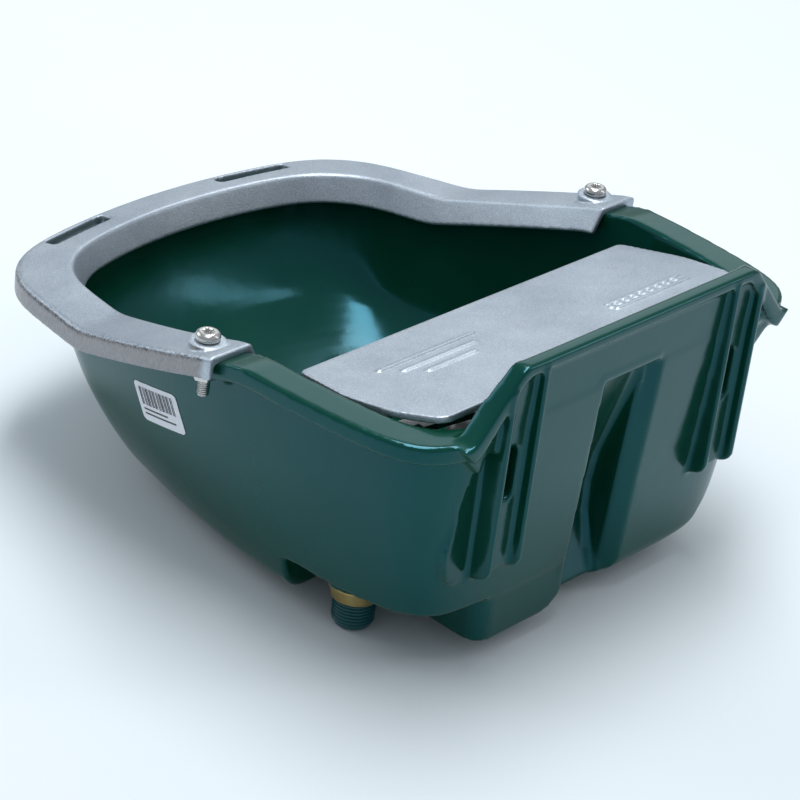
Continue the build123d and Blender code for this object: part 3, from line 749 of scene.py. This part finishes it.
def screw_rings(x, y):
    """Rings of a pan-head screw with a six-lobe socket and a threaded shank, from the socket outwards."""
    count, seat = 72, SCREW_SEAT
    head, rise, depth = 6.0, 4.3, 2.6
    turns = [2 * math.pi * i / count for i in range(count)]

    def ring(radius_of, height_of):
        return [(x + radius_of(t) * math.cos(t), y + radius_of(t) * math.sin(t), height_of(t)) for t in turns]

    def lobed(scale):
        return lambda t: scale * (2.15 + 0.42 * math.cos(6 * t))

    def flat(height):
        return lambda t: height

    def even(radius):
        return lambda t: radius

    top = seat + rise
    rings = [ring(even(0.05), flat(top - depth - 0.4)), ring(lobed(0.94), flat(top - depth)),
             ring(lobed(0.98), flat(top - 0.45)), ring(lobed(1.05), flat(top - 0.18)),
             ring(even(3.2), flat(top - 0.12))]
    for i in range(1, 9):
        angle = math.radians(90 - 84 * i / 8)
        rings.append(ring(even(3.4 + 2.6 * math.cos(angle)), flat(seat + 1.7 + 2.55 * math.sin(angle))))
    rings += [ring(even(head), flat(seat + 0.9)), ring(even(head - 0.3), flat(seat + 0.1)),
              ring(even(3.0), flat(seat))]
    pitch, cut = 1.0, 0.55
    rows = int((SCREW_LENGTH - 1) / (pitch / 6))
    for i in range(rows + 1):
        height = seat - 0.5 - i * pitch / 6
        taper = min(1.0, (rows - i) / 5)

        def thread(t, height=height, taper=taper):
            phase = (height / pitch - t / (2 * math.pi)) % 1.0
            return 3.0 - cut * abs(2 * phase - 1) ** 0.8 - 0.35 * (1 - taper)

        rings.append(ring(thread, flat(height)))
    rings.append(ring(even(1.6), flat(seat - SCREW_LENGTH)))
    return rings


def guard_screws():
    """Both guard screws."""
    for side, word in ((1, "near"), (-1, "far")):
        screw = loft("screw", screw_rings(side * SCREW_X, SCREW_Y))
        nodes = ["rim_screws"] if side > 0 else []
        finished(screw, f"guard_screw_{word}", "bowl", "stainless", STEEL, *nodes)


# ---- Cover -------------------------------------------------------------------------------------------

def cover_points(inset):
    """Flat outline of the cover, from its front edge backwards, as across and along."""
    right = rounded([(114.5 - inset, inset), (121.5 - inset, 36), (119.8 - inset, 64),
                     (111 - inset, COVER_LENGTH - inset), (90, COVER_LENGTH - inset)],
                    [0, 60, 16, 9, 0], closed=False)
    corner = [(111.5 - inset, inset), (114.3 - inset, inset + 1.0), (115.4 - inset, inset + 4)]
    right = corner + right[1:]
    return right + [(-x, y) for x, y in reversed(right)]


def tilted(points):
    """Points from the cover's own plane to their place."""
    turn = math.radians(COVER_TILT)
    result = []
    for x, y, z in points:
        result.append((x, COVER_FRONT + y * math.cos(turn) - z * math.sin(turn),
                       COVER_LEVEL + y * math.sin(turn) + z * math.cos(turn)))
    return result


def cover_solid(flat, low, high):
    """A flat outline in the cover's plane, carried through its thickness."""
    return loft("tool", [tilted([(x, y, z) for x, y in flat]) for z in (low, high)])


def bar_outline(x1, x2, y1, y2, radius):
    return rounded([(x1, y1), (x2, y1), (x2, y2), (x1, y2)], radius)


def cover_piece():
    """Cast cover with an edge rib, raised bars and hinge knuckles."""
    steps = [("cut", cover_solid(cover_points(3.2), -30, -COVER_THICK)),
             ("cut", cover_solid(bar_outline(-150, 150, COVER_LENGTH - RIB_STOP, COVER_LENGTH + 5, 0), -30,
                                 -COVER_THICK))]
    for y in (50.5, 57.0):
        steps.append(("add", cover_solid(bar_outline(-98, -42, y, y + 1.5, 0.7), -1, 0.9)))
    for i in range(9):
        x = -94 + 6.2 * i
        steps.append(("add", cover_solid(bar_outline(x, x + 3.6, 53.2, 55.6, 0.9), -1, 0.7)))
    for row, (start, end) in enumerate(((26, 92), (34, 84), (42, 76))):
        y = 26 + 8 * row
        steps.append(("add", cover_solid(bar_outline(start, end, y, y + 2.4, 1.1), -1, 0.8)))
    for side in (1, -1):
        low, high = sorted((side * (KNUCKLE_X - KNUCKLE_WIDE / 2), side * (KNUCKLE_X + KNUCKLE_WIDE / 2)))
        steps.append(("add", bar(4.5, low, high, HINGE_Y, HINGE_Z, "x")))
        steps.append(("add", box((low, high), (HINGE_Y - 4.5, HINGE_Y + 2), (HINGE_Z, HINGE_Z + 6))))
        low, high = sorted((side * (LUG_X - LUG_WIDE / 2 - 1.8), side * (LUG_X + LUG_WIDE / 2 + 1.8)))
        steps.append(("cut", box((low, high), (-34.5, 0), (0, 60))))
    steps.append(("cut", box((-26, 26), (COVER_NOTCH, 0), (0, 60))))
    steps.append(("cut", bar(HINGE_PIN_R + 0.15, -130, 130, HINGE_Y, HINGE_Z, "x")))
    cover = solid(cover_solid(cover_points(0), -COVER_THICK - 3, 0), steps, voxel=0.62, soften=4, keep=0.3)
    return finished(cover, "float_cover_casting", "cover", "cast_aluminium", COVER_METAL, "float_cover")


# ---- Inlet -------------------------------------------------------------------------------------------

def inlet_piece():
    """Threaded inlet stem with its bore."""
    count = 96
    turns = [2 * math.pi * i / count for i in range(count)]

    def ring(radius_of, height):
        radii = [radius_of(t) for t in turns]
        return [(VALVE_X + r * math.cos(t), VALVE_Y + r * math.sin(t), height) for r, t in zip(radii, turns)]

    rings = []
    step = THREAD_PITCH / 8
    rows = int((-72.5 - STEM_BOTTOM) / step)
    for i in range(rows):
        height = STEM_BOTTOM + 0.4 + i * step
        lead = max(0.0, 1 - (height - STEM_BOTTOM) / 3.4)

        def thread(t, height=height, lead=lead):
            phase = (height / THREAD_PITCH - t / (2 * math.pi)) % 1.0
            groove_depth = THREAD_DEPTH * max(0.0, abs(2 * phase - 1) * 1.35 - 0.35)
            return min(THREAD_R - groove_depth, THREAD_R - 1.8 * lead)

        rings.append(ring(thread, height))
    profile = [(9.4, -72), (9.4, -70), (13, -70), (13, -66.5), (9, -66.5), (9, -44), (4, -44),
               (4, STEM_BOTTOM + 16), (6.9, STEM_BOTTOM + 15), (6.9, STEM_BOTTOM + 0.5), (7.3, STEM_BOTTOM),
               (8.2, STEM_BOTTOM)]
    rings += [ring(lambda t, r=radius: r, height) for radius, height in profile]
    stem = loft("stem", rings, ring_closed=True)
    return finished(stem, "inlet_stem_threaded", "bowl", "valve_plastic", TEAL, "inlet_stem")


def nut_piece():
    """Turned brass nut with a flange, a taper and rounded edges."""
    top, bore = BOSS_BOTTOM, THREAD_R + 0.15
    corners = [(bore, top), (14, top), (14, top - 2.0), (12.9, top - 2.6), (11.9, top - 8.6),
               (bore, top - 9.2)]
    profile = rounded(corners, [0.2, 0.5, 0.5, 0.5, 0.7, 0.2], steps=4)
    nut = lathe("nut", profile, VALVE_X, VALVE_Y)
    return finished(nut, "lock_nut_turned", "bowl", "brass", BRASS, "lock_nut")


# ---- Label -------------------------------------------------------------------------------------------

def label_piece(bowl):
    """Paper label wrapped on the bowl's side, printed with plain bars of uneven width."""
    long, tall = 36.4, 20.4
    run, rise = math.radians(15), math.radians(27)
    middle = Vector(LABEL_MIDDLE)
    outward = Vector((1, -0.12, -0.10)).normalized()
    along = Vector((0, 1, 0)) - outward * outward.y
    along.normalize()
    upward = outward.cross(along)
    axis_a = along * math.cos(run) + upward * math.sin(run)
    axis_b = upward * math.cos(rise) - along * math.sin(rise)

    def patch(name, a1, a2, b1, b2, lift, material, corner=0.0):
        columns, rows = max(2, int((a2 - a1) / 1.2)), max(2, int((b2 - b1) / 1.2))
        points, faces = [], []
        for r in range(rows + 1):
            for c in range(columns + 1):
                a, b = a1 + (a2 - a1) * c / columns, b1 + (b2 - b1) * r / rows
                if corner:
                    edge = min(b - b1, b2 - b)
                    pull = corner - math.sqrt(max(corner ** 2 - (corner - min(edge, corner)) ** 2, 0))
                    a = (a1 + a2) / 2 + (a - (a1 + a2) / 2) * (1 - 2 * pull / (a2 - a1))
                points.append(tuple(middle + axis_a * a + axis_b * b + outward * 3))
        for r in range(rows):
            for c in range(columns):
                k = r * (columns + 1) + c
                faces.append((k, k + 1, k + columns + 2, k + columns + 1))
        obj = new_object(name, points, faces)
        wrap = obj.modifiers.new("wrap", "SHRINKWRAP")
        wrap.target, wrap.wrap_method, wrap.offset = bowl, "NEAREST_SURFACEPOINT", lift * MM
        wrap.wrap_mode = "ABOVE_SURFACE"
        obj.data.materials.append(material)
        return solid(obj, [])

    paper = patch("paper", -long / 2, long / 2, -tall / 2, tall / 2, 0.22, label_paper(), 2.2)
    parts = [paper]
    ink = label_ink()
    start, widths = -long / 2 + 3.5, (1.1, 0.5, 0.8, 0.5, 1.3, 0.5, 0.9, 0.6)
    at, k = start, 0
    while at < long / 2 - 4:
        wide = widths[k % len(widths)]
        parts.append(patch("bar", at, at + wide, -1.5, tall / 2 - 2.5, 0.32, ink))
        at += wide + widths[(3 * k + 1) % len(widths)] * 0.9
        k += 1
    for low, end in ((-4.2, 6), (-6.6, 12)):
        parts.append(patch("line", start, end, low, low + 0.9, 0.32, ink))
    joined = bmesh.new()
    for part in parts:
        held = bmesh.new()
        held.from_mesh(part.data)
        for face in held.faces:
            face.material_index = 0 if part is paper else 1
        made = bpy.data.meshes.new("held")
        held.to_mesh(made)
        held.free()
        joined.from_mesh(made)
    mesh = bpy.data.meshes.new("label")
    joined.to_mesh(mesh)
    joined.free()
    mesh.materials.append(paper.data.materials[0])
    mesh.materials.append(ink)
    label = bpy.data.objects.new("label", mesh)
    bpy.context.scene.collection.objects.link(label)
    for part in parts:
        bpy.data.objects.remove(part)
    return finished(label, "side_label", "bowl", "label", ink, "product_label")


# ---- CAD pieces that keep their shape ----------------------------------------------------------------

def dress_cad_nodes():
    """Materials for the pieces whose CAD shape is kept."""
    looks = {
        STEEL: ["rim_washers", "rim_nuts", "cover_hinge_rod", "hinge_rod_clips", "lever_pin",
                "lever_pin_clip", "float_rod", "float_rod_nuts", "lever_arm", "inlet_strainer"],
        TEAL: ["valve_housing", "plunger"],
        satin_plastic("nozzle_plastic", (0.05, 0.05, 0.05), (0.09, 0.09, 0.09)): ["valve_nozzle"],
        # The float's dark grey is painted shade: it stands in for the shade in the gap under the cover, not a
        # known colour of the float.
        satin_plastic("float_plastic", (0.035, 0.038, 0.04), (0.06, 0.064, 0.068), 0.3): ["level_float"],
        satin_plastic("rubber", (0.012, 0.012, 0.012), (0.03, 0.03, 0.03), 0.7): ["stem_gasket",
                                                                                  "plunger_seal"],
    }
    for material, names in looks.items():
        for name in names:
            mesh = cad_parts[name].data
            mesh.materials.clear()
            mesh.materials.append(material)


# ---- Make everything ---------------------------------------------------------------------------------

make_camera()
make_studio()
bpy.context.scene.view_settings.view_transform = "Standard"
STEEL = steel()
BRASS = brass()
TEAL = satin_plastic("valve_plastic", (0.0, 0.055, 0.065), (0.0, 0.085, 0.095), 0.32)
COVER_METAL = cast_aluminium("cover_aluminium")

dress_cad_nodes()
shell = bowl_shell()
guard_piece()
guard_screws()
cover_piece()
inlet_piece()
nut_piece()
label_piece(shell)
